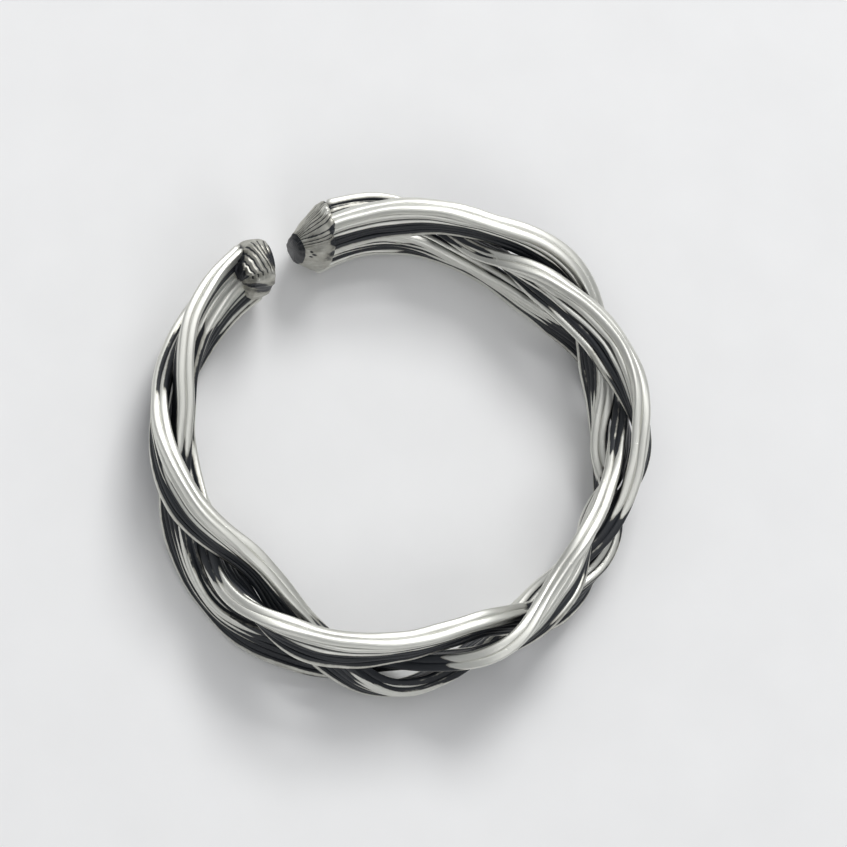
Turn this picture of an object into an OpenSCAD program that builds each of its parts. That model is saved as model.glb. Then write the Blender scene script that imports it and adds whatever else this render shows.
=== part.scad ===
// Open twist ring, lying on its side. Three strands, each a bundle of ten wires two thick and
// five high, are plaited round the finger hole, and each end of the plait is gathered into a
// soldered tip.
// Millimetres, +Z up along the axis of the finger hole, origin on that axis at the resting plane.

/* [Size] */
// Width of the finger hole inside the plait
finger_d = 17.4; // [17.4:0.5:19.4]
// Height of the middle of the band above the resting plane
mid_z = 2.61; // [2.61:0.01:2.7]

/* [Strands] */
// Radius of each wire in a strand
wire_r = 0.2; // [0.19:0.005:0.2]
// Distance between neighbouring wires down a strand
wire_pitch = 0.37; // [0.36:0.005:0.37]
// Half the distance between the inner and the outer row of wires
row_half = 0.19; // [0.18:0.005:0.19]
// Sections along each strand
strand_sections = 77; // [63:7:98]

/* [Ends] */
// Angle at which the strands start, at the left tip
run_start = 133; // [132:0.5:134]
// Angle at which the strands end, at the right tip
run_end = 470; // [469:0.5:471]
// Gap kept between the strands and a tip
joint_gap = 0.05; // [0.04:0.01:0.08]
// Ribs round each tip
rib_count = 22; // [16:2:22]
// Depth of the ribs on the tips
rib_depth = 0.1; // [0.04:0.02:0.1]
// Sections along each tip
tip_sections = 12; // [8:1:14]

/* [Hidden] */

wires_high = 5;
silver = [0.78, 0.78, 0.76];
finger_d_drawn = 17.4;
grow = (finger_d - finger_d_drawn) / 2;

// The rows of a strand stand a fixed number of degrees apart
first_row_deg = 131;
row_step_deg = 23;

// Columns of a strand: radius of its middle, height from the band's middle,
// tilt in degrees (positive leans the lower wires outwards), size of its section
strand_a_rows = [
    [10.85, 1.35, -20, 0.9], [10.90, 1.50, -6, 1], [10.15, 0.75, 2, 1], [10.80, -0.80, 20, 1],
    [11.25, -1.45, 2, 1], [10.50, -1.70, 48, 1], [9.95, -1.10, -8, 1], [10.55, 1.35, -12, 1],
    [9.85, 1.60, 46, 1], [9.15, 1.45, -4, 1], [10.10, 0.10, 26, 1], [10.55, -1.55, -22, 1],
    [9.35, -1.35, -2, 1], [9.40, -1.55, 8, 1], [9.70, -1.15, -14, 1], [9.40, -1.50, -22, 1]
];
strand_b_rows = [
    [10.85, -1.25, -12, 0.9], [11.00, -1.50, -10, 1], [11.15, 0.40, -6, 1], [10.75, 1.60, 32, 1],
    [9.25, 1.00, 10, 1], [10.15, 0.10, 38, 1], [11.10, -1.40, -8, 1], [9.90, -1.55, -18, 1],
    [9.15, -1.40, 0, 1], [10.00, 0.10, -14, 1], [10.80, 1.30, 18, 1], [10.20, 1.70, -46, 1],
    [9.50, 1.50, -26, 1], [10.00, -0.15, 40, 1], [11.15, -0.65, 8, 1], [11.05, -0.55, -8, 1]
];
strand_c_rows = [
    [9.95, -0.60, -34, 1.2], [10.05, -0.85, -16, 1.15], [9.90, -1.45, 12, 1], [9.40, -1.45, -16, 1],
    [10.50, 0.40, -40, 1], [10.75, 1.60, 32, 1], [9.75, 1.50, 16, 1], [9.25, 1.40, 10, 1],
    [10.30, -0.70, 30, 1], [10.45, -1.60, -18, 1], [9.45, -1.30, 16, 1], [9.90, -0.20, -24, 1],
    [10.85, 1.25, -20, 1], [10.35, 1.55, -8, 1], [9.95, 1.45, -34, 1], [9.70, 1.15, -34, 1]
];

// Columns of a tip: degrees from the joint towards the gap, radius of its middle,
// height from the band's middle, half its width, half its height, turn of the section in degrees
tip_left_rows = [
    [0.0, 10.24, 0.05, 1.28, 2.30, 0], [1.2, 10.26, 0.04, 1.22, 2.24, -3], [2.5, 10.22, 0.02, 1.10, 2.05, -8],
    [3.8, 10.15, 0, 0.92, 1.75, -16], [4.6, 10.08, 0, 0.70, 1.42, -21]
];
tip_right_rows = [
    [0.0, 10.00, -0.10, 1.30, 2.25, 0], [2.2, 9.94, -0.12, 1.24, 2.22, 0], [4.8, 9.90, -0.10, 1.08, 2.02, 0],
    [7.2, 9.90, -0.05, 0.82, 1.70, 0], [8.8, 9.93, 0, 0.66, 1.42, 0], [9.8, 9.95, 0, 0.52, 1.20, 0]
];
joint_gap_deg = joint_gap / finger_d * 360 / PI;

// Outline of a tip: points round it, and how square its corners are (2 is an ellipse)
tip_points = 44;
tip_squareness = 3;

// Value at place u between the rows of a table, on a smooth curve through them all
function row_or_beyond(rows, i) =
    i < 0 ? 2 * rows[0] - rows[1] :
    i > len(rows) - 1 ? 2 * rows[len(rows) - 1] - rows[len(rows) - 2] : rows[i];
function smooth_row(rows, u) =
    let (i = min(floor(u), len(rows) - 2), f = u - i,
         p0 = row_or_beyond(rows, i - 1), p1 = rows[i],
         p2 = rows[i + 1], p3 = row_or_beyond(rows, i + 2))
    (2 * p1 + (p2 - p0) * f + (2 * p0 - 5 * p1 + 4 * p2 - p3) * f * f
        + (3 * p1 - p0 - 3 * p2 + p3) * f * f * f) / 2;

// Outline of a strand, two rows of wires: [down its height, out from its middle]
function wire_crests(half_high) = [
    for (i = [1 : wires_high * 2 - 3])
        [i / 2 * wire_pitch - half_high,
         row_half + (i % 2 == 0 ? wire_r : sqrt(wire_r * wire_r - wire_pitch * wire_pitch / 4))]
];
function strand_face() =
    let (half_high = (wires_high - 1) / 2 * wire_pitch, round = wire_r * sqrt(0.5))
    concat([[-half_high - wire_r, row_half], [-half_high - round, row_half + round],
            [-half_high, row_half + wire_r]], wire_crests(half_high),
           [[half_high, row_half + wire_r], [half_high + round, row_half + round],
            [half_high + wire_r, row_half]]);
function strand_outline(size) =
    let (face = strand_face(),
         groove = (wires_high - 1) / 2 * wire_pitch + sqrt(wire_r * wire_r - row_half * row_half))
    size * concat([[-groove, 0]], face, [[groove, 0]],
                  [for (i = [len(face) - 1 : -1 : 0]) [face[i][0], -face[i][1]]]);

// Section of a strand, standing in the plane through the ring's axis at this angle
function strand_section(rows, deg) =
    let (row = smooth_row(rows, (deg - first_row_deg) / row_step_deg),
         radius = row[0] + grow, height = row[1] + mid_z, tilt = row[2])
    [for (p = strand_outline(row[3]))
        let (r = radius + sin(tilt) * p[0] + cos(tilt) * p[1],
             z = height - cos(tilt) * p[0] + sin(tilt) * p[1])
        [r * cos(deg), r * sin(deg), z]];

// Outline of a tip: a soft rectangle with ribs round it
function soft_power(v, square) = sign(v) * pow(abs(v), 2 / square);
function tip_outline(half_w, half_h, ribs) = [
    for (i = [0 : tip_points - 1])
        let (deg = -i * 360 / tip_points, cut = ribs * (1 - cos(deg * rib_count)) / 2)
        [soft_power(cos(deg), tip_squareness) * (half_w - cut),
         soft_power(sin(deg), tip_squareness) * (half_h - cut)]
];

// Section of a tip, with the ribs dying out towards the gap
function tip_section(rows, share, joint_deg, way) =
    let (row = smooth_row(rows, share * (len(rows) - 1)), deg = joint_deg + way * row[0],
         radius = row[1] + grow, facing = deg + row[5])
    [for (p = tip_outline(row[3], row[4], rib_depth * (1 - share * share)))
        [radius * cos(deg) + p[0] * cos(facing), radius * sin(deg) + p[0] * sin(facing),
         mid_z + row[2] + p[1]]];

// Solid through a row of sections that all have the same number of points
module swept(sections, facing_on) {
    count = len(sections[0]);
    last = (len(sections) - 1) * count;
    sides = [
        for (s = [0 : len(sections) - 2], i = [0 : count - 1])
            let (a = s * count + i, b = s * count + (i + 1) % count)
            each [[a, b, a + count], [b, b + count, a + count]]
    ];
    first_face = [for (i = [count - 1 : -1 : 0]) i];
    last_face = [for (i = [0 : count - 1]) last + i];
    faces = concat(sides, [first_face, last_face]);
    turned = [for (f = faces) [for (i = [len(f) - 1 : -1 : 0]) f[i]]];
    polyhedron(points = [for (s = sections) each s], faces = facing_on ? faces : turned);
}

module strand(rows) {
    step = (run_end - run_start) / strand_sections;
    swept([for (i = [0 : strand_sections]) strand_section(rows, run_start + i * step)], true);
}

module tip(rows, joint_deg, way) {
    swept([for (i = [0 : tip_sections]) tip_section(rows, i / tip_sections, joint_deg, way)], way > 0);
}

module strand_a() {
    color(silver) strand(strand_a_rows);
}

module strand_b() {
    color(silver) strand(strand_b_rows);
}

module strand_c() {
    color(silver) strand(strand_c_rows);
}

module tip_left() {
    color(silver) tip(tip_left_rows, run_start - joint_gap_deg, -1);
}

module tip_right() {
    color(silver) tip(tip_right_rows, run_end + joint_gap_deg, 1);
}

strand_a();
strand_b();
strand_c();
tip_left();
tip_right();
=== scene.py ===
import itertools
import logging
import math
from dataclasses import dataclass, field
from enum import Enum
from typing import NamedTuple

import bpy
import numpy as np
from mathutils import Matrix, Vector


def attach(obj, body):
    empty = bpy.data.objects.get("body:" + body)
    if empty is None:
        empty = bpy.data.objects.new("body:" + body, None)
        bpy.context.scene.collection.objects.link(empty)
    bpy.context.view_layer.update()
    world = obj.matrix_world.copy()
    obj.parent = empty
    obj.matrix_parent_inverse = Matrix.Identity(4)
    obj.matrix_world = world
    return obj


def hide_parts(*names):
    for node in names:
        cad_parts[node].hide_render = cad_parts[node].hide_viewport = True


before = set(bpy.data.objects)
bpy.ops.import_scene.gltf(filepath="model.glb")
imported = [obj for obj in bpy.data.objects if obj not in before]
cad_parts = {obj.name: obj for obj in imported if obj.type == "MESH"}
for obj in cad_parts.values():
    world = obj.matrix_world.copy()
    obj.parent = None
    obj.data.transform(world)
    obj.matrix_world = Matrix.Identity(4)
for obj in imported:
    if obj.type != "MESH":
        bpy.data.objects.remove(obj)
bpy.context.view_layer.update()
LOG = logging.getLogger("twist_ring")
MM = 0.001

# The rows of a strand stand ROW_STEP_DEG apart, from FIRST_ROW_DEG on
FIRST_ROW_DEG = 131.0
ROW_STEP_DEG = 23.0
# Height of the middle of the band above the resting plane, in millimetres
MID_Z = 2.61

# Columns: radius of the strand's middle, its height from the band's middle,
# tilt in degrees (positive leans the lower wires outwards), size of the section
STRAND_A_ROWS = (
    (11.06, 1.42, -20, 0.60), (10.96, 1.50, -6, 0.94), (10.15, 0.75, 2, 1), (10.80, -0.80, 20, 1),
    (11.25, -1.45, 2, 1), (10.50, -1.70, 48, 1), (9.95, -1.10, -8, 1), (10.55, 1.35, -12, 1),
    (9.85, 1.60, 46, 1), (9.15, 1.45, -4, 1), (10.10, 0.10, 26, 1), (10.55, -1.55, -22, 1),
    (9.35, -1.35, -2, 1), (9.40, -1.55, 8, 1), (9.70, -1.15, -14, 1), (9.40, -1.50, -22, 1),
)
STRAND_B_ROWS = (
    (10.85, -1.25, -12, 0.9), (11.00, -1.50, -10, 1), (11.15, 0.40, -6, 1), (10.75, 1.60, 32, 1),
    (9.25, 1.00, 10, 1), (10.15, 0.10, 38, 1), (11.10, -1.40, -8, 1), (9.90, -1.55, -18, 1),
    (9.15, -1.40, 0, 1), (10.00, 0.10, -14, 1), (10.80, 1.30, 18, 1), (10.20, 1.70, -46, 1),
    (9.50, 1.50, -26, 1), (10.00, -0.15, 40, 1), (11.15, -0.65, 8, 1), (11.05, -0.55, -8, 1),
)
STRAND_C_ROWS = (
    (9.95, -0.60, -34, 1.2), (10.05, -0.85, -16, 1.15), (9.90, -1.45, 12, 1), (9.40, -1.45, -16, 1),
    (10.50, 0.40, -40, 1.06), (10.75, 1.60, 32, 1), (9.75, 1.50, 16, 1), (9.25, 1.40, 10, 1),
    (10.30, -0.70, 30, 1), (10.45, -1.60, -18, 1), (9.45, -1.30, 16, 1), (9.90, -0.20, -24, 1),
    (10.85, 1.25, -20, 1), (10.35, 1.55, -8, 1), (9.95, 1.45, -34, 1), (9.70, 1.15, -34, 1),
)

# First and last angle of each strand's wires in degrees
STRAND_RUNS = {"strand_a": (133.6, 474.0), "strand_b": (132.5, 468.5), "strand_c": (132.5, 474.0)}

# Columns: strand, first and last angle in degrees, how much nearer the upper wheel came there
# than its height alone would bring it (less than 0 is further off)
WORN_STRETCHES = (
    ("strand_a", 203, 250, -0.04), ("strand_a", 344, 360, -0.20), ("strand_a", 375, 395, 0.30),
    ("strand_a", 425, 448, 0.35), ("strand_a", 448, 480, 0.80),
    ("strand_b", 258, 292, -0.06), ("strand_b", 336, 356, -0.25), ("strand_b", 383, 388, -0.30),
    ("strand_c", 128, 151, 0.60), ("strand_c", 238, 262, -0.15), ("strand_c", 268, 292, -0.22),
    ("strand_c", 318, 340, 0.15), ("strand_c", 356, 386, 0.55),
)

# Columns: place down the strand's width, distance out from its middle, radius of the wire in
# millimetres, squareness of its section (2 is round), and how squarely it must face the polishing
# wheel to come bare (1 is square on): deep in the plait, at its surface, and towards its own face
WIRE_ROWS = (
    (-0.72, 0.178, 0.215, 3.1, 0.93, -0.30, 1.40), (-0.34, 0.195, 0.190, 2.3, 1.30, 0.25, 1.40),
    (0.02, 0.200, 0.180, 2.0, 1.35, 0.60, 1.40), (0.37, 0.165, 0.180, 2.0, 1.40, 1.00, 1.40),
    (0.73, 0.190, 0.200, 2.2, 1.30, 0.60, 0.92),
)

# Columns: degrees from the joint towards the gap, radius of the tip's middle, height from the
# band's middle, half its width, half its height, turn of the section in degrees
TIP_LEFT_ROWS = (
    (-4.6, 10.22, 0.08, 0.80, 1.95, 0), (-3.0, 10.20, 0.06, 0.98, 2.16, 0),
    (-1.0, 10.20, 0.04, 1.18, 2.26, 0), (1.0, 10.24, 0.04, 1.26, 2.28, -2),
    (2.5, 10.22, 0.02, 1.14, 2.10, -8), (4.0, 10.15, 0, 0.96, 1.84, -16),
    (4.8, 10.08, 0, 0.74, 1.50, -21),
)
TIP_RIGHT_ROWS = (
    (-1.0, 10.12, -0.02, 1.26, 2.34, 0), (0.6, 10.06, -0.05, 1.34, 2.38, 0),
    (2.2, 9.96, -0.10, 1.26, 2.26, 0), (4.8, 9.90, -0.10, 1.08, 2.02, 0),
    (7.2, 9.90, -0.05, 0.82, 1.70, 0), (8.8, 9.93, 0, 0.66, 1.42, 0), (9.8, 9.95, 0, 0.52, 1.20, 0),
)

# Columns: place along the tip from 0 at the joint to 1, way round in degrees (0 outwards, 90 up,
# 180 inwards), size of the mark in millimetres, its depth (less than 0 is a lump), its blackness
TIP_LEFT_MARKS = (
    (0.12, 42, 0.42, 0.16, 1.2), (0.30, 30, 0.30, 0.08, 0.6), (0.38, 128, 0.34, -0.05, -0.1),
    (0.10, 150, 0.26, 0.10, 0.8), (0.26, 170, 0.50, 0.06, 0.3), (0.80, 100, 0.34, 0.05, 0.40),
    (0.86, 140, 0.34, 0.06, 0.40), (0.86, 172, 0.50, 0.04, 0.30),
)
TIP_RIGHT_MARKS = (
    (0.72, 134, 0.07, 0.05, 0.6), (0.66, 146, 0.08, 0.06, 0.7), (0.71, 158, 0.07, 0.05, 0.6),
    (0.45, 160, 0.40, -0.08, 0.1), (0.16, 100, 0.20, 0.10, 0.6), (0.12, 126, 0.20, 0.09, 0.7),
    (0.16, 150, 0.18, 0.06, 0.4), (0.04, 40, 0.18, 0.12, 0.8), (0.18, 66, 0.26, -0.08, -0.4),
)

# Columns: name, direction from the ring in degrees from +X, height in degrees, distance and side
# in millimetres, power in watts
LAMPS = (
    ("window", 75, 49, 400, 150, 0.74), ("lamp", 280, 50, 400, 180, 0.22),
    ("ceiling", 95, 70, 800, 900, 2.2),
)

# Columns: size in degrees, times round the tip, phase in radians
RAGGED_WAVES = ((0.35, 7, 0), (0.25, 13, 1), (0.20, 29, 2))
# Columns: depth in millimetres, times round the tip, radians gained along it
SKIN_WAVES = ((0.020, 5, 9), (0.015, 11, -14))
# Columns: size in radians, times round the tip, radians gained along it
RIB_BENDS = ((0.9, 2, 5), (0.6, 5, -7))


class Side(Enum):
    """Which end of the plait a tip closes, as the way its angle grows."""

    LEFT = -1
    RIGHT = 1


def smooth_rows(rows: np.ndarray, place: np.ndarray) -> np.ndarray:
    """Values between the rows of a table, on a smooth curve through all of them.

    The curve is the cubic through two rows whose slope at each row is half the step from the row
    before to the row after.

    Args:
        rows: table, one row for each station.
        place: where to read it, in rows.

    Returns:
        One row of values for each place.
    """
    last = len(rows) - 1
    start = np.clip(np.floor(place).astype(int), 0, last - 1)
    part = (place - start)[:, None]
    beyond = np.vstack([2 * rows[0] - rows[1], rows, 2 * rows[-1] - rows[-2]])
    p0, p1, p2, p3 = (beyond[start + i] for i in range(4))
    return 0.5 * (2 * p1 + (p2 - p0) * part + (2 * p0 - 5 * p1 + 4 * p2 - p3) * part**2
                  + (3 * p1 - p0 - 3 * p2 + p3) * part**3)


def unit(v: np.ndarray) -> np.ndarray:
    """Vectors along the last axis, each brought to a length of one."""
    return v / np.linalg.norm(v, axis=-1, keepdims=True)


def smoothstep(low: float, high: float, v: np.ndarray) -> np.ndarray:
    """Zero up to low, one from high on, three times the square less twice the cube between."""
    t = np.clip((v - low) / (high - low), 0.0, 1.0)
    return t * t * (3 - 2 * t)


def soft_power(v: np.ndarray, square: float | np.ndarray) -> np.ndarray:
    """A cosine or sine raised to two over the squareness, with its sign kept."""
    return np.sign(v) * np.abs(v) ** (2 / square)


def wobble(along: np.ndarray, seed: int, lengths: tuple[float, ...]) -> np.ndarray:
    """A slow irregular wave of about one either way.

    It is the sum of sines of the given lengths, over the root of how many there are.

    Args:
        along: distance along the wire in millimetres.
        seed: picks the phases.
        lengths: wave lengths in millimetres.

    Returns:
        The wave at each distance.
    """
    phases = np.random.default_rng(seed).uniform(0, 2 * math.pi, len(lengths))
    waves = sum(np.sin(2 * math.pi * along / length + phase) for length, phase in zip(lengths, phases))
    return waves / len(lengths) ** 0.5


def round_grid_mesh(name: str, grid: np.ndarray, **values: np.ndarray) -> bpy.types.Mesh:
    """A closed skin through a stack of rings, with a fan over each end.

    Point j of ring i of tube k is grid[k, i, j]. Each square joins points j and j + 1 of rings i
    and i + 1, and each end closes on the mean of its ring.

    Args:
        name: the mesh's name.
        grid: points in millimetres, as (tube, ring, point round, 3).
        values: attributes of the same first three sizes; a fourth size of 3 makes a vector.

    Returns:
        The mesh, in metres, with its faces pointing outwards.
    """
    tubes, rings, count = grid.shape[:3]
    per_tube = rings * count
    here, following = np.arange(count), (np.arange(count) + 1) % count
    base = np.arange(tubes)[:, None] * (per_tube + 2)
    ring_base = base[:, :, None] + np.arange(rings - 1)[:, None] * count
    a, b = ring_base + here, ring_base + following
    quads = np.stack([a, b, b + count, a + count], -1).reshape(-1, 4)
    last_ring = base + per_tube - count
    first = np.stack(np.broadcast_arrays(base + per_tube, base + following, base + here), -1)
    last = np.stack(np.broadcast_arrays(
        base + per_tube + 1, last_ring + here, last_ring + following), -1)
    points = np.concatenate(
        [grid.reshape(tubes, per_tube, 3), grid[:, :1].mean(2), grid[:, -1:].mean(2)], 1)
    mesh = bpy.data.meshes.new(name)
    mesh.vertices.add(points.size // 3)
    mesh.vertices.foreach_set("co", (points * MM).astype(np.float32).ravel())
    corners = np.concatenate([quads.ravel(), first.ravel(), last.ravel()]).astype(np.int32)
    sizes = np.concatenate([np.full(len(quads), 4), np.full(2 * tubes * count, 3)])
    mesh.loops.add(len(corners))
    mesh.loops.foreach_set("vertex_index", corners)
    mesh.polygons.add(len(sizes))
    mesh.polygons.foreach_set("loop_start", (np.cumsum(sizes) - sizes).astype(np.int32))
    mesh.polygons.foreach_set("use_smooth", np.ones(len(sizes), bool))
    mesh.update(calc_edges=True)
    for key, v in values.items():
        kind, slot = ("FLOAT_VECTOR", "vector") if v.ndim == 4 else ("FLOAT", "value")
        ends = np.stack([v[:, i].reshape(tubes, count, -1).mean(1) for i in (0, -1)], 1)
        data = np.concatenate([v.reshape(tubes, per_tube, -1), ends], 1).astype(np.float32)
        mesh.attributes.new(key, kind, "POINT").data.foreach_set(slot, data.ravel())
    return mesh


class WireSkin(NamedTuple):
    """The surface of a strand's wires, each array sized (wire, station, point round).

    Attributes:
        points: places in millimetres, with a fourth size of 3.
        way: outward directions, with a fourth size of 3.
        lay: distance along the wire and the place in the strand's section, with a fourth size of 3.
        side_way: how squarely the point faces out of the strand's face, 1 being square on.
        end_way: how squarely it faces out of the strand's edge, -1 off the edges.
    """

    points: np.ndarray
    way: np.ndarray
    lay: np.ndarray
    side_way: np.ndarray
    end_way: np.ndarray


@dataclass
class WirePlait:
    """Three flat strands of parallel wires, plaited round the finger hole. Millimetres and degrees.

    Attributes:
        stations: sections along each wire.
        round_points: points round each wire.
        mean_radius: radius at which the waves are measured along the strand.
        uneven: size of the waves by which the wires stray.
        uneven_down: their lengths for straying down the strand's width.
        uneven_out: their lengths for straying out from its middle.
        out_seeds_from: added to the seeds of the second kind.
        rounded_deg: angle over which a wire's end is rounded off.
        blunt_share: the least share of it that counts, so that no end is a point.
        edge_band: how near the strand's edge a wire counts as an edge wire.
        rows: the table of each strand.
    """

    stations: int = 400
    round_points: int = 24
    mean_radius: float = 10.0
    uneven: float = 0.018
    uneven_down: tuple[float, ...] = (7.0, 4.3, 2.9)
    uneven_out: tuple[float, ...] = (6.1, 3.7, 2.3)
    out_seeds_from: int = 40
    rounded_deg: float = 1.2
    blunt_share: float = 0.02
    edge_band: float = 0.05
    rows: dict[str, np.ndarray] = field(default_factory=lambda: {
        "strand_a": np.array(STRAND_A_ROWS), "strand_b": np.array(STRAND_B_ROWS),
        "strand_c": np.array(STRAND_C_ROWS)})

    @property
    def wires(self) -> np.ndarray:
        """The wires of a strand's section: each row of WIRE_ROWS once out and once in."""
        return np.array([(down, side * out, *rest) for down, out, *rest in WIRE_ROWS for side in (1, -1)])

    def unevenness(self, along: np.ndarray, seed: int, lengths: tuple[float, ...]) -> np.ndarray:
        """How far each wire strays from its place in the section, by a wobble of its own.

        Args:
            along: distance along the strand.
            seed: the first wire's seed, each next wire having the next one.
            lengths: wave lengths.

        Returns:
            The shift as (wire, angle).
        """
        return np.stack([self.uneven * wobble(along, seed + i, lengths) for i in range(len(self.wires))])

    def lanes(self, strand: str, deg: np.ndarray) -> tuple[np.ndarray, np.ndarray, np.ndarray, np.ndarray]:
        """Where a strand's wires cross the plane through the ring's axis at each angle.

        A wire lies down the section's width along the line that leans by the tilt (outwards by
        its sine, down by its cosine) and out from it, square to that line. Slow small waves keep
        the wires from lying quite even.

        Args:
            strand: the strand's name.
            deg: angles in degrees.

        Returns:
            Radius and height of each wire as (wire, angle), the tilt in radians, and the size.
        """
        radius, height, tilt, size = smooth_rows(
            self.rows[strand], (deg - FIRST_ROW_DEG) / ROW_STEP_DEG).T
        tilt = np.radians(tilt)
        along = np.radians(deg) * self.mean_radius
        seed = ord(strand[-1])
        down = self.wires[:, :1] * size + self.unevenness(along, seed, self.uneven_down)
        out = (self.wires[:, 1:2] * size
               + self.unevenness(along, seed + self.out_seeds_from, self.uneven_out))
        r = radius + np.sin(tilt) * down + np.cos(tilt) * out
        z = height - np.cos(tilt) * down + np.sin(tilt) * out
        return r, z, tilt, size

    def skin(self, strand: str) -> WireSkin:
        """Surface of a strand's wires, each a soft square tube carried along its own path.

        A point is the path's point plus the radius times (cosine of the way round times the
        strand's face direction, plus sine times its width direction), both square to the path,
        with cosine and sine raised to two over the squareness. Towards its ends each wire is
        rounded off by a quarter circle.

        Args:
            strand: the strand's name.

        Returns:
            The surface.
        """
        deg = np.linspace(*STRAND_RUNS[strand], self.stations)
        r, z, tilt, size = self.lanes(strand, deg)
        t = np.radians(deg)
        path = np.stack([r * np.cos(t), r * np.sin(t), z + MID_Z], -1)
        forward = unit(np.gradient(path, axis=1))
        out = np.stack([np.cos(t), np.sin(t), 0 * t], -1)
        up = np.array([0.0, 0.0, 1.0])
        face = np.cos(tilt)[:, None] * out + np.sin(tilt)[:, None] * up
        down = np.sin(tilt)[:, None] * out - np.cos(tilt)[:, None] * up
        face = unit(face - (face * forward).sum(-1, keepdims=True) * forward)
        across = np.cross(forward, face)
        across = across * np.sign((across * down).sum(-1).mean())
        turn = np.linspace(0, 2 * math.pi, self.round_points, endpoint=False)
        s, h, wire_r, square = (v[:, None, None] for v in self.wires.T[:4])
        x, y = soft_power(np.cos(turn), square), soft_power(np.sin(turn), square)
        offset = face[:, :, None] * x[..., None] + across[:, :, None] * y[..., None]
        to_end = np.minimum(deg - deg[0], deg[-1] - deg)
        rounding = np.sqrt(1 - (1 - np.clip(to_end / self.rounded_deg, self.blunt_share, 1)) ** 2)
        points = path[:, :, None] + (wire_r * (size * rounding)[:, None])[..., None] * offset
        steps = np.linalg.norm(np.diff(path, axis=1, prepend=path[:, :1]), axis=-1)
        length = np.cumsum(steps, axis=1)[:, :, None]
        lay = np.stack(np.broadcast_arrays(length + 0 * turn, s + wire_r * y, h + wire_r * x), -1)
        at_edge = np.abs(s) > np.abs(s).max() - self.edge_band
        end_way = np.where(at_edge, np.sign(s) * np.sin(turn), -1.0)
        return WireSkin(points, unit(offset), lay, np.sign(h) * np.cos(turn), end_way)


@dataclass
class Crowding:
    """How closely metal surrounds a place: a blurred count of wire over a grid of cells.

    The grid runs by angle, radius and height, in degrees and millimetres. A cell is full where a
    wire's middle is nearer than the wire's radius. The count is then averaged twice along each
    axis.

    Attributes:
        plait: the wires.
        step_deg: angle from cell to cell.
        step: distance from cell to cell, outwards and upwards.
        reach_cells: cells on either side that are averaged with one.
        low_deg: the first cells' angle.
        high_deg: angle before which the cells end.
        low_r: the first cells' radius.
        low_z: the first cells' height from the band's middle.
        count_r: cells outwards.
        count_z: cells upwards.
        stop_short: cells kept free before the grid's end.
    """

    plait: WirePlait
    step_deg: float = 0.75
    step: float = 0.1
    reach_cells: int = 3
    low_deg: float = 122.0
    high_deg: float = 482.0
    low_r: float = 8.2
    low_z: float = -3.2
    count_r: int = 44
    count_z: int = 64
    stop_short: float = 1.001

    def __post_init__(self) -> None:
        """Fills and blurs the cells."""
        deg = np.arange(self.low_deg, self.high_deg, self.step_deg)
        r = self.low_r + self.step * np.arange(self.count_r)
        z = self.low_z + self.step * np.arange(self.count_z)
        full = np.zeros((len(deg), len(r), len(z)), bool)
        wires = self.plait.wires
        for strand, (first, last) in STRAND_RUNS.items():
            wire_r, wire_z, _, _ = self.plait.lanes(strand, deg)
            there = ((deg > first) & (deg < last))[:, None, None]
            for i, size in enumerate(wires[:, 2]):
                away_r = r[None, :, None] - wire_r[i][:, None, None]
                away_z = z - wire_z[i][:, None, None]
                full |= (away_r ** 2 + away_z ** 2 < size ** 2) & there
        cells = full.astype(np.float32)
        for axis in range(3):
            for _ in range(2):
                cells = self.box_mean(cells, axis)
        self.cells = cells

    def box_mean(self, cells: np.ndarray, axis: int) -> np.ndarray:
        """Mean over reach_cells either side along one axis, by running sums.

        Args:
            cells: the grid.
            axis: the axis to average along.

        Returns:
            The means, on the same grid.
        """
        width = 2 * self.reach_cells + 1
        pad = [(0, 0)] * 3
        pad[axis] = (self.reach_cells + 1, self.reach_cells)
        total = np.cumsum(np.pad(cells, pad, mode="edge"), axis=axis)
        upper = np.take(total, np.arange(width, total.shape[axis]), axis=axis)
        lower = np.take(total, np.arange(0, total.shape[axis] - width), axis=axis)
        return (upper - lower) / width

    def at(self, points: np.ndarray) -> np.ndarray:
        """The blurred count at some places, read evenly between the eight cells round each.

        Args:
            points: places in millimetres, 3 along the last axis.

        Returns:
            The count at each place, from 0 in the open to 1 deep in metal.
        """
        x, y, z = np.moveaxis(points, -1, 0)
        place = np.stack([((np.degrees(np.arctan2(y, x)) - self.low_deg) % 360) / self.step_deg,
                          (np.hypot(x, y) - self.low_r) / self.step,
                          (z - MID_Z - self.low_z) / self.step])
        top = np.array(self.cells.shape)[:, None] - self.stop_short
        place = np.clip(place.reshape(3, -1), 0, top)
        cell = place.astype(int)
        past = place - cell
        total = np.zeros(place.shape[1])
        for corner in itertools.product((0, 1), repeat=3):
            a, b, c = (past[axis] if ahead else 1 - past[axis] for axis, ahead in enumerate(corner))
            i, j, k = (cell[axis] + ahead for axis, ahead in enumerate(corner))
            total += a * b * c * self.cells[i, j, k]
        return total.reshape(points.shape[:-1])


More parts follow.
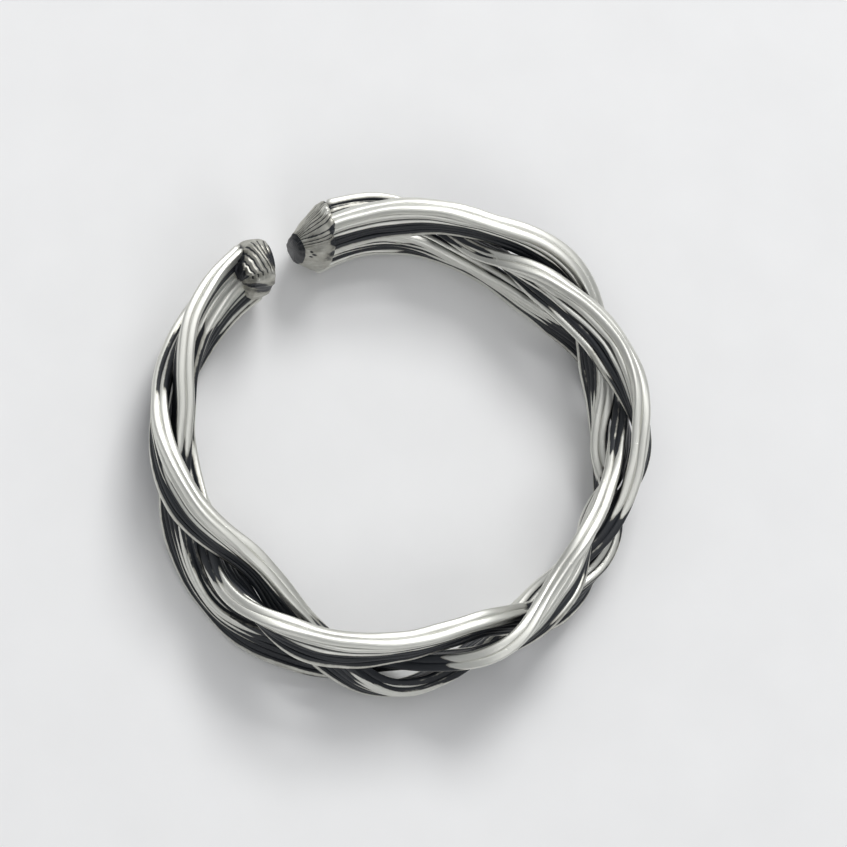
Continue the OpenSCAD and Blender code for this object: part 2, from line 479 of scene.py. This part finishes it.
@dataclass
class StrandPiece:
    """One strand of the plait, its wires lying side by side. Millimetres and degrees.

    Attributes:
        name: the strand's name.
        plait: the wires of all strands.
        crowding: how closely they stand.
        look_out: how far out from a point the crowding is read.
        first_deg: angle from which angles are counted.
        ease_deg: half the angle over which a worn stretch begins or ends.
        wheel_heights: heights over which the upper wheel comes near, the lower one below alike.
        outer_radii: radii over which the outer wheel comes near.
        outer_nearest: how near it comes there, 1 being all the way.
        inner_radii: radii over which the inner wheel comes near.
        furthest: the least nearness of the upper wheel.
        groove_from: how squarely a point has to face out of the strand to be out of a groove.
        groove_soft: rise of that which takes the reach from nothing to full.
        crowd_most: the crowding that a wheel still gets into.
        soft: rise of the spare, or fall of the crowding, that does the same.
    """

    name: str
    plait: WirePlait
    crowding: Crowding
    look_out: float = 0.40
    first_deg: float = 120.0
    ease_deg: float = 3.0
    wheel_heights: tuple[float, float] = (0.8, 1.9)
    outer_radii: tuple[float, float] = (10.9, 11.4)
    outer_nearest: float = 0.6
    inner_radii: tuple[float, float] = (9.6, 9.0)
    furthest: float = -0.2
    groove_from: float = 0.15
    groove_soft: float = 0.30
    crowd_most: float = 0.40
    soft: float = 0.25

    def nearness(self, points: np.ndarray) -> tuple[np.ndarray, ...]:
        """How near the four wheels come, from 0 far off to 1.

        Each comes nearer towards its own side of the band. The upper one is also nearer or
        further off in the strand's worn stretches.

        Args:
            points: places in millimetres.

        Returns:
            The nearness at each point of the upper, lower, outer and inner wheels.
        """
        radius, height = np.hypot(points[..., 0], points[..., 1]), points[..., 2] - MID_Z
        deg = np.degrees(np.arctan2(points[..., 1], points[..., 0]))
        deg = (deg - self.first_deg) % 360 + self.first_deg
        nearer = sum(
            amount * smoothstep(first - self.ease_deg, first + self.ease_deg, deg)
            * (1 - smoothstep(last - self.ease_deg, last + self.ease_deg, deg))
            for strand, first, last, amount in WORN_STRETCHES if strand == self.name)
        above = np.clip(smoothstep(*self.wheel_heights, height) + nearer, self.furthest, 1)
        below = smoothstep(*self.wheel_heights, -height)
        outer = self.outer_nearest * smoothstep(*self.outer_radii, radius)
        return above, below, outer, smoothstep(*self.inner_radii, radius)

    def reach(self, skin: WireSkin) -> np.ndarray:
        """How well a polishing wheel gets at each point, one half being where the silver comes bare.

        A wheel comes from above, from below, from outside and from inside. For each, the spare is
        how squarely the point faces the wheel less what its wire needs, which eases as the wheel
        comes near. The best of them counts, or the wire's own crest, and it is held back in the
        grooves between wires and where metal stands close above.

        Args:
            skin: the surface of the strand's wires.

        Returns:
            The reach at each point.
        """
        crowd = self.crowding.at(skin.points + skin.way * self.look_out)
        deep, bare, own = (v[:, None, None] for v in self.plait.wires.T[4:7])
        radius = np.hypot(skin.points[..., 0], skin.points[..., 1])
        up, out = skin.way[..., 2], (skin.points[..., :2] * skin.way[..., :2]).sum(-1) / radius
        wheels = zip((up, -up, out, -out), self.nearness(skin.points))
        spare = np.maximum.reduce([facing - deep + (deep - bare) * near for facing, near in wheels])
        spare = np.maximum(spare, skin.side_way - own)
        groove = np.maximum(skin.side_way, skin.end_way) - self.groove_from
        held = np.minimum(spare / self.soft, groove / self.groove_soft)
        return np.minimum(held, (self.crowd_most - crowd) / self.soft) + 0.5

    def build(self) -> bpy.types.Object:
        """Makes the strand's wires, with the lay and the polish reach kept as attributes.

        Returns:
            The strand's object.
        """
        skin = self.plait.skin(self.name)
        mesh = round_grid_mesh(self.name + "_wires", skin.points, reach=self.reach(skin), lay=skin.lay)
        return place_piece(mesh, self.name)


@dataclass(frozen=True)
class TipRibs:
    """Ribs over part of a tip: how they run, how deep they are, and where they stand round it.

    Attributes:
        around: how many ribs are met in going once round.
        along: how many are met in going from the joint to the end.
        depth: depth of the grooves in millimetres.
        middle_deg: way round of the middle of the ribbed part.
        half_deg: about half the angle that it takes up.
        fade_from: where the ribs begin to fade, as a share of half_deg.
        fade_to: where they are gone, as a share of half_deg.
    """

    around: float
    along: float
    depth: float
    middle_deg: float
    half_deg: float
    fade_from: float = 0.75
    fade_to: float = 1.15

    def height(self, way: np.ndarray, share: np.ndarray) -> np.ndarray:
        """Height of the ribs, from 0 in a groove to 1 on a crest and where there are none.

        A crest and a groove follow one another as the cosine of a phase. The phase is the way
        round times around, plus a whole turn for each rib along, bent by the slower waves of
        RIB_BENDS. Beyond half_deg from middle_deg the ribs fade out.

        Args:
            way: way round the section in radians, 0 outwards and a quarter turn up.
            share: place along the tip from 0 at the joint to 1.

        Returns:
            The height at each point.
        """
        turn = self.around * way + 2 * math.pi * self.along * share
        for size, times, gained in RIB_BENDS:
            turn = turn + size * np.sin(times * way + gained * share)
        off = np.abs((np.degrees(way) - self.middle_deg + 180) % 360 - 180)
        there = 1 - smoothstep(self.half_deg * self.fade_from, self.half_deg * self.fade_to, off)
        return 1 - there * (0.5 - 0.5 * np.cos(turn))


@dataclass
class GatheredTip:
    """The soldered end of the plait: the wires run together and are pinched. Millimetres and degrees.

    Attributes:
        name: the tip's name.
        side: which way the tip runs on from its joint.
        joint_deg: angle of the joint with the strands.
        rows: the tip's sections.
        ribs: its ribs.
        marks: its marks.
        square: squareness of the section, 2 being an ellipse.
        slant_deg: how much nearer to the gap the edge at the joint lies inside than outside.
        joint_step: how far the surface drops at the joint.
        joint_step_to: place along the tip where that ends.
        end_step: how far the surface drops at the end.
        end_step_from: place along the tip where that begins.
        end_black: blackness of the end.
        black_from: place along the tip where it begins.
        black_rise: share of the tip over which it comes in.
        rib_bare: height of the ribs where the silver comes bare.
        rib_soft: rise of the ribs that takes the reach from nothing to full.
        polish_most: how far above one half the reach can be.
        lay_step: growth of the lay from ring to ring.
        stations: rings along the tip.
        round_points: points round each ring.
    """

    name: str
    side: Side
    joint_deg: float
    rows: np.ndarray
    ribs: TipRibs
    marks: np.ndarray
    square: float = 2.7
    slant_deg: float = 0.0
    joint_step: float = 0.12
    joint_step_to: float = 0.08
    end_step: float = 0.10
    end_step_from: float = 0.93
    end_black: float = 1.4
    black_from: float = 0.86
    black_rise: float = 0.06
    rib_bare: float = 0.15
    rib_soft: float = 0.6
    polish_most: float = 0.15
    lay_step: float = 0.03
    stations: int = 160
    round_points: int = 320

    def shell(self, way: np.ndarray, share: np.ndarray, cut: np.ndarray) -> np.ndarray:
        """Surface of the tip with a depth taken off at each point.

        The outline is the cosine and sine of the way round, each raised to two over the
        squareness, times the half width and half height less the depth. It narrows and turns
        towards the gap, and the joint end is ragged.

        Args:
            way: way round the section in radians, 0 outwards and a quarter turn up.
            share: place along the tip from 0 at the joint to 1, as (ring, 1).
            cut: the depth at each point.

        Returns:
            Points as (ring, point round, 3).
        """
        rows = smooth_rows(self.rows, share[:, 0] * (len(self.rows) - 1)).T
        ahead, radius, height, half_w, half_h, turn = (v[:, None] for v in rows)
        ragged = sum(size * np.sin(times * way + phase) for size, times, phase in RAGGED_WAVES)
        edge = ragged + self.slant_deg * (0.5 - 0.5 * np.cos(way))
        deg = self.joint_deg + self.side.value * (ahead + edge * (1 - share) ** 3)
        t, facing = np.radians(deg), np.radians(deg + turn)
        out = soft_power(np.cos(way), self.square) * (half_w - cut)
        up = soft_power(np.sin(way), self.square) * (half_h - cut)
        return np.stack([radius * np.cos(t) + out * np.cos(facing),
                         radius * np.sin(t) + out * np.sin(facing),
                         MID_Z + height + up], -1)

    def skin(self) -> tuple[np.ndarray, np.ndarray, np.ndarray]:
        """Surface of the tip with its ribs, waves and marks cut in, each mark as a bell of its size.

        Returns:
            Points as (1, ring, point round, 3), how high the ribs stand, and how black it is.
        """
        share = np.linspace(0, 1, self.stations)[:, None]
        way = np.linspace(0, 2 * math.pi, self.round_points, endpoint=False)
        rib = self.ribs.height(way, share)
        wave = sum(depth * np.sin(times * way + gained * share) for depth, times, gained in SKIN_WAVES)
        step = (self.joint_step * (1 - smoothstep(0, self.joint_step_to, share))
                + self.end_step * smoothstep(self.end_step_from, 1.0, share))
        cut = self.ribs.depth * (1 - rib) + wave + step
        even = self.shell(way, share, cut)
        black = np.zeros(cut.shape)
        for along, round_deg, size, depth, blackness in self.marks:
            i, j = round(along * (self.stations - 1)), round(round_deg / 360 * self.round_points)
            bell = np.exp(-((np.linalg.norm(even - even[i, j], axis=-1) / size) ** 2))
            cut = cut + depth * bell
            black = black + blackness * bell
        grid = self.shell(way, share, cut)
        black = black + self.end_black * smoothstep(
            self.black_from, self.black_from + self.black_rise, share)
        if self.side is Side.LEFT:
            grid, rib, black = grid[:, ::-1], rib[:, ::-1], black[:, ::-1]
        return grid[None], rib[None], black[None]

    def build(self) -> bpy.types.Object:
        """Makes the tip, with the lay and the polish reach kept as attributes.

        Returns:
            The tip's object.
        """
        grid, rib, black = self.skin()
        reach = 0.5 + np.minimum((rib - self.rib_bare) / self.rib_soft, self.polish_most) - black
        along = np.cumsum(np.ones(grid.shape[:3]), 1) * self.lay_step
        lay = np.stack([along, grid[..., 2], np.hypot(grid[..., 0], grid[..., 1])], -1)
        mesh = round_grid_mesh(self.name + "_metal", grid, reach=reach, lay=lay)
        return place_piece(mesh, self.name)


def place_piece(mesh: bpy.types.Mesh, node: str) -> bpy.types.Object:
    """Puts a finished mesh in the scene in place of a CAD node.

    Args:
        mesh: the mesh, in place in metres.
        node: the CAD node that it stands for.

    Returns:
        The new object.
    """
    piece = bpy.data.objects.new(mesh.name, mesh)
    bpy.context.scene.collection.objects.link(piece)
    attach(piece, "root")
    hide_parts(node)
    LOG.info("%s: %d faces, stands for %s", piece.name, len(mesh.polygons), node)
    return piece


def add_node(tree: bpy.types.NodeTree, kind: str, x: float, y: float,
             inputs: dict[str | int, object] | None = None, **settings: object) -> bpy.types.Node:
    """A node of some kind in a tree.

    Args:
        tree: the tree.
        kind: the kind of node.
        x: its place across the tree.
        y: its place up the tree.
        inputs: constants on its own sockets, by the socket's name or number.
        **settings: its settings, by name.

    Returns:
        The node.
    """
    node = tree.nodes.new(kind)
    node.location = (x, y)
    for key, value in settings.items():
        setattr(node, key, value)
    for socket, value in (inputs or {}).items():
        node.inputs[socket].default_value = value
    return node


def join_nodes(tree: bpy.types.NodeTree, joints: tuple[tuple, ...]) -> None:
    """Links nodes of a tree.

    Args:
        tree: the tree.
        joints: for each link a node, its output, the next node and its input.
    """
    for source, output, target, socket in joints:
        tree.links.new(source.outputs[output], target.inputs[socket])


@dataclass(frozen=True)
class Patina:
    """Where the black patina is left.

    The reach is shifted by a noise, and the mask rises from polished to black as it falls through
    the threshold.

    Attributes:
        noise_scale: how fine the noise is.
        noise_detail: how many finer layers it has.
        noise_roughness: how much they count.
        black_over: reach above the threshold from which, down to which, the black comes in.
        grey_over: the same for the duller olive-grey that comes in beside the black.
    """

    noise_scale: float = 2200.0
    noise_detail: float = 4.0
    noise_roughness: float = 0.62
    black_over: tuple[float, float] = (0.10, -0.10)
    # Reach above the threshold over which the silver dulls to olive-grey, ahead of the black
    grey_over: tuple[float, float] = (0.50, -0.05)

    def group(self) -> bpy.types.NodeTree:
        """Builds the node group.

        Returns:
            The group, which turns a reach into a black mask and a mask for the duller olive-grey beside
            it.
        """
        tree = bpy.data.node_groups.new("patina", "ShaderNodeTree")
        face = tree.interface
        for label, usual in (("Reach", 0.0), ("Threshold", 0.5), ("Jaggedness", 0.4), ("Size", 1.0)):
            face.new_socket(label, in_out="INPUT", socket_type="NodeSocketFloat").default_value = usual
        for label in ("Black", "Grey"):
            face.new_socket(label, in_out="OUTPUT", socket_type="NodeSocketFloat")
        take, give = add_node(tree, "NodeGroupInput", -900, 0), add_node(tree, "NodeGroupOutput", 700, 0)
        where = add_node(tree, "ShaderNodeTexCoord", -900, -300)
        sized = add_node(tree, "ShaderNodeVectorMath", -700, -300, operation="SCALE")
        noise = add_node(tree, "ShaderNodeTexNoise", -500, -200, {
            "Scale": self.noise_scale, "Detail": self.noise_detail, "Roughness": self.noise_roughness})
        centred = add_node(tree, "ShaderNodeMath", -300, -200, {1: 0.5}, operation="SUBTRACT")
        jag = add_node(tree, "ShaderNodeMath", -150, -150, operation="MULTIPLY")
        shifted = add_node(tree, "ShaderNodeMath", 0, 0, operation="ADD")
        below = add_node(tree, "ShaderNodeMath", 150, 0, operation="SUBTRACT")
        black, grey_mask = (
            add_node(tree, "ShaderNodeMapRange", 320, y, {"From Min": start, "From Max": end},
                     interpolation_type="SMOOTHSTEP")
            for y, (start, end) in ((60, self.black_over), (-200, self.grey_over)))
        join_nodes(tree, (
            (where, "Object", sized, 0), (take, "Size", sized, "Scale"), (sized, 0, noise, "Vector"),
            (noise, "Fac", centred, 0), (centred, 0, jag, 0), (take, "Jaggedness", jag, 1),
            (take, "Reach", shifted, 0), (jag, 0, shifted, 1), (shifted, 0, below, 0),
            (take, "Threshold", below, 1), (below, 0, black, "Value"), (below, 0, grey_mask, "Value"),
            (black, 0, give, "Black"), (grey_mask, 0, give, "Grey"),
        ))
        return tree


@dataclass(frozen=True)
class Wear:
    """Fine marks along the wires and small pits.

    The marks are a noise stretched along the lay; the pits are the low places of a fine noise.

    Attributes:
        lay_scale: what the lay is multiplied by, along the wire and in the two ways across it.
        mark_scale: how fine the marks are.
        pit_scale: how fine the pits are.
        noise_detail: how many finer layers both noises have.
        pit_over: value of the fine noise from which, down to which, a pit deepens.
    """

    lay_scale: tuple[float, float, float] = (0.35, 9.0, 9.0)
    mark_scale: float = 3.0
    pit_scale: float = 5200.0
    noise_detail: float = 3.0
    pit_over: tuple[float, float] = (0.36, 0.26)

    def group(self) -> bpy.types.NodeTree:
        """Builds the node group.

        Returns:
            The group, which turns the lay into a height for the bump and a dulling.
        """
        tree = bpy.data.node_groups.new("wear", "ShaderNodeTree")
        face = tree.interface
        face.new_socket("Lay", in_out="INPUT", socket_type="NodeSocketVector")
        for label in ("Marks", "Pits"):
            face.new_socket(label, in_out="INPUT", socket_type="NodeSocketFloat").default_value = 0.5
        for label in ("Height", "Dulling"):
            face.new_socket(label, in_out="OUTPUT", socket_type="NodeSocketFloat")
        take, give = add_node(tree, "NodeGroupInput", -900, 0), add_node(tree, "NodeGroupOutput", 700, 0)
        stretch = add_node(
            tree, "ShaderNodeVectorMath", -700, 100, {1: self.lay_scale}, operation="MULTIPLY")
        streak = add_node(tree, "ShaderNodeTexNoise", -500, 100, {
            "Scale": self.mark_scale, "Detail": self.noise_detail})
        where = add_node(tree, "ShaderNodeTexCoord", -900, -300)
        fine = add_node(tree, "ShaderNodeTexNoise", -500, -300, {
            "Scale": self.pit_scale, "Detail": self.noise_detail})
        start, end = self.pit_over
        pit = add_node(tree, "ShaderNodeMapRange", -300, -300, {"From Min": start, "From Max": end},
                       interpolation_type="SMOOTHSTEP")
        marks = add_node(tree, "ShaderNodeMath", -100, 100, operation="MULTIPLY")
        pits = add_node(tree, "ShaderNodeMath", -100, -300, operation="MULTIPLY")
        height = add_node(tree, "ShaderNodeMath", 200, 0, operation="SUBTRACT")
        join_nodes(tree, (
            (take, "Lay", stretch, 0), (stretch, 0, streak, "Vector"),
            (where, "Object", fine, "Vector"), (fine, "Fac", pit, "Value"), (streak, "Fac", marks, 0),
            (take, "Marks", marks, 1), (pit, 0, pits, 0), (take, "Pits", pits, 1),
            (marks, 0, height, 0), (pits, 0, height, 1), (height, 0, give, "Height"),
            (streak, "Fac", give, "Dulling"),
        ))
        return tree


@dataclass(frozen=True)
class BlackenedSilver:
    """Silver, blackened and then polished back where a wheel reaches.

    Attributes:
        name: the material's name.
        bright: colour of the bare silver.
        olive_grey: duller olive-grey colour of the silver beside the black, mixed in as the reach falls.
        black: colour of the black.
        threshold: reach at which the silver comes bare.
        jaggedness: how far a noise moves that.
        marks: depth of the marks.
        pits: depth of the pits.
        rough_over: roughness of the bare silver, from its smoothest to its dullest.
        black_rough: roughness of the black.
        bump_distance: height of the marks and pits in metres.
        bump_strength: how strongly they show.
    """

    name: str
    bright: tuple[float, float, float] = (0.78, 0.78, 0.73)
    # A duller olive-grey mixed into the silver where the reach falls short of bare, before the black
    olive_grey: tuple[float, float, float] = (0.42, 0.41, 0.36)
    black: tuple[float, float, float] = (0.016, 0.019, 0.024)
    threshold: float = 0.5
    jaggedness: float = 0.55
    marks: float = 0.5
    pits: float = 0.6
    rough_over: tuple[float, float] = (0.44, 0.54)
    black_rough: float = 0.45
    bump_distance: float = 0.00002
    bump_strength: float = 0.6

    def make(self, patina: bpy.types.NodeTree, wear: bpy.types.NodeTree) -> bpy.types.Material:
        """Builds the material.

        Args:
            patina: the group that says where the black is left.
            wear: the group of marks and pits.

        Returns:
            The material.
        """
        material = bpy.data.materials.new(self.name)
        material.use_nodes = True
        tree = material.node_tree
        tree.nodes.clear()
        out = add_node(tree, "ShaderNodeOutputMaterial", 900, 0)
        skin = add_node(tree, "ShaderNodeBsdfPrincipled", 600, 0)
        reach = add_node(tree, "ShaderNodeAttribute", -900, 100, attribute_name="reach")
        lay = add_node(tree, "ShaderNodeAttribute", -900, -200, attribute_name="lay")
        left = add_node(tree, "ShaderNodeGroup", -650, 100, {
            "Threshold": self.threshold, "Jaggedness": self.jaggedness}, node_tree=patina)
        worn = add_node(tree, "ShaderNodeGroup", -650, -200, {
            "Marks": self.marks, "Pits": self.pits}, node_tree=wear)
        warm = add_node(tree, "ShaderNodeMix", -300, 200, {
            "A": (*self.bright, 1), "B": (*self.olive_grey, 1)}, data_type="RGBA")
        dark = add_node(tree, "ShaderNodeMix", 0, 200, {"B": (*self.black, 1)}, data_type="RGBA")
        low, high = self.rough_over
        rough = add_node(tree, "ShaderNodeMapRange", 0, -50, {"To Min": low, "To Max": high})
        dull = add_node(tree, "ShaderNodeMix", 250, -50, {"B": self.black_rough}, data_type="FLOAT")
        metal = add_node(tree, "ShaderNodeMath", 250, 150, {0: 1.0}, operation="SUBTRACT")
        bump = add_node(tree, "ShaderNodeBump", 300, -300, {
            "Distance": self.bump_distance, "Strength": self.bump_strength})
        join_nodes(tree, (
            (reach, "Fac", left, "Reach"), (lay, "Vector", worn, "Lay"),
            (left, "Grey", warm, "Factor"), (warm, "Result", dark, "A"),
            (left, "Black", dark, "Factor"), (dark, "Result", skin, "Base Color"),
            (worn, "Dulling", rough, "Value"), (rough, 0, dull, "A"), (left, "Black", dull, "Factor"),
            (left, "Black", metal, 1), (metal, 0, skin, "Metallic"),
            (dull, "Result", skin, "Roughness"), (worn, "Height", bump, "Height"),
            (bump, 0, skin, "Normal"), (skin, 0, out, "Surface"),
        ))
        return material


@dataclass
class Studio:
    """A pale floor, soft light and the camera at the photo's angle. Millimetres and degrees.

    Attributes:
        elevation: height of the camera over the ring.
        azimuth: its direction from the ring, from +X.
        distance: its distance.
        pixels_per_mm: scale of the picture at the ring's axis.
        picture: side of the picture in pixels.
        axis_at: where the ring's axis falls in it, from the left and from the top.
        sensor: width of the camera's sensor.
        clip: nearest and furthest depth that the camera sees, in metres.
        floor_half: half the side of the floor.
        floor_tone: the floor's darkest and lightest tone.
        floor_rough: its roughness.
        floor_shine: its specular level.
        mottle_scale: how fine its mottle is.
        mottle_detail: how many finer layers that has.
        sky_colour: colour of the even light.
        sky_strength: its strength.
    """

    elevation: float = 73.0
    azimuth: float = 230.0
    distance: float = 260.0
    pixels_per_mm: float = 22.17
    picture: int = 847
    axis_at: tuple[float, float] = (402.0, 440.0)
    sensor: float = 36.0
    clip: tuple[float, float] = (0.01, 20.0)
    floor_half: float = 1500.0
    floor_tone: tuple[float, float] = (0.84, 0.90)
    floor_rough: float = 0.8
    floor_shine: float = 0.2
    mottle_scale: float = 260.0
    mottle_detail: float = 5.0
    sky_colour: tuple[float, float, float] = (0.95, 0.97, 1.0)
    sky_strength: float = 0.29

    def camera(self) -> None:
        """Aims a long lens so that the ring's axis falls where the photo has it, with +Y up."""
        e, a = math.radians(self.elevation), math.radians(self.azimuth)
        back = Vector((math.cos(e) * math.cos(a), math.cos(e) * math.sin(a), math.sin(e)))
        up = Vector((0, 1, 0))
        up = (up - up.dot(back) * back).normalized()
        right = up.cross(back)
        half = self.picture / 2
        aim = (Vector((0, 0, MID_Z)) + right * ((half - self.axis_at[0]) / self.pixels_per_mm)
               + up * ((self.axis_at[1] - half) / self.pixels_per_mm))
        data = bpy.data.cameras.new("camera")
        data.sensor_width = self.sensor
        data.lens = data.sensor_width * self.distance * self.pixels_per_mm / self.picture
        data.clip_start, data.clip_end = self.clip
        camera = bpy.data.objects.new("camera", data)
        bpy.context.scene.collection.objects.link(camera)
        turn = Matrix((right, up, back)).transposed()
        camera.matrix_world = Matrix.Translation((aim + back * self.distance) * MM) @ turn.to_4x4()
        bpy.context.scene.camera = camera

    def floor(self) -> None:
        """A large flat sheet at the resting plane, near white with a faint mottle."""
        h = self.floor_half * MM
        mesh = bpy.data.meshes.new("floor")
        mesh.from_pydata([(-h, -h, 0), (h, -h, 0), (h, h, 0), (-h, h, 0)], [], [(0, 1, 2, 3)])
        sheet = bpy.data.objects.new("floor", mesh)
        bpy.context.scene.collection.objects.link(sheet)
        paper = bpy.data.materials.new("floor_paper")
        paper.use_nodes = True
        tree = paper.node_tree
        skin = tree.nodes["Principled BSDF"]
        skin.inputs["Roughness"].default_value = self.floor_rough
        skin.inputs["Specular IOR Level"].default_value = self.floor_shine
        where = add_node(tree, "ShaderNodeTexCoord", -900, 0)
        noise = add_node(tree, "ShaderNodeTexNoise", -700, 0, {
            "Scale": self.mottle_scale, "Detail": self.mottle_detail})
        low, high = self.floor_tone
        tone = add_node(tree, "ShaderNodeMapRange", -500, 0, {"To Min": low, "To Max": high})
        join_nodes(tree, (
            (where, "Object", noise, "Vector"), (noise, "Fac", tone, "Value"),
            (tone, 0, skin, "Base Color"),
        ))
        mesh.materials.append(paper)

    def lamp(self, name: str, azimuth: float, elevation: float, distance: float, size: float,
             power: float) -> None:
        """A square soft lamp looking at the ring.

        Args:
            name: the lamp's name.
            azimuth: its direction from the ring, in degrees from +X.
            elevation: its height in degrees.
            distance: its distance in millimetres.
            size: its side in millimetres.
            power: its power in watts.
        """
        a, e = math.radians(azimuth), math.radians(elevation)
        way = Vector((math.cos(e) * math.cos(a), math.cos(e) * math.sin(a), math.sin(e)))
        data = bpy.data.lights.new(name, "AREA")
        data.size = size * MM
        data.energy = power
        lamp = bpy.data.objects.new(name, data)
        bpy.context.scene.collection.objects.link(lamp)
        lamp.location = way * distance * MM
        lamp.rotation_mode = "QUATERNION"
        lamp.rotation_quaternion = way.to_track_quat("Z", "Y")

    def sky(self) -> None:
        """Even light from all round."""
        world = bpy.data.worlds.new("room")
        world.use_nodes = True
        light = world.node_tree.nodes["Background"]
        light.inputs["Color"].default_value = (*self.sky_colour, 1)
        light.inputs["Strength"].default_value = self.sky_strength
        bpy.context.scene.world = world

    def build(self) -> None:
        """Makes the floor, the lights and the camera."""
        self.floor()
        self.sky()
        for row in LAMPS:
            self.lamp(*row)
        self.camera()
        bpy.context.scene.view_settings.view_transform = "Standard"


def main() -> None:
    """Builds the ring's pieces in order, dresses them, and sets the scene round them."""
    logging.basicConfig(level=logging.INFO, format="%(name)s: %(message)s")
    plait = WirePlait()
    crowding = Crowding(plait)
    silver = BlackenedSilver("blackened_silver").make(Patina().group(), Wear().group())
    pieces = [StrandPiece(name, plait, crowding).build() for name in plait.rows]
    pieces.append(GatheredTip(
        name="tip_left", side=Side.LEFT, joint_deg=132.7, rows=np.array(TIP_LEFT_ROWS),
        ribs=TipRibs(around=1.5, along=8.0, depth=0.06, middle_deg=85, half_deg=42),
        marks=np.array(TIP_LEFT_MARKS)).build())
    pieces.append(GatheredTip(
        name="tip_right", side=Side.RIGHT, joint_deg=470.3, rows=np.array(TIP_RIGHT_ROWS),
        ribs=TipRibs(around=44, along=0.8, depth=0.045, middle_deg=50, half_deg=75),
        marks=np.array(TIP_RIGHT_MARKS), slant_deg=3.0).build())
    for piece in pieces:
        piece.data.materials.append(silver)
    Studio().build()


if __name__ == "__main__":
    main()
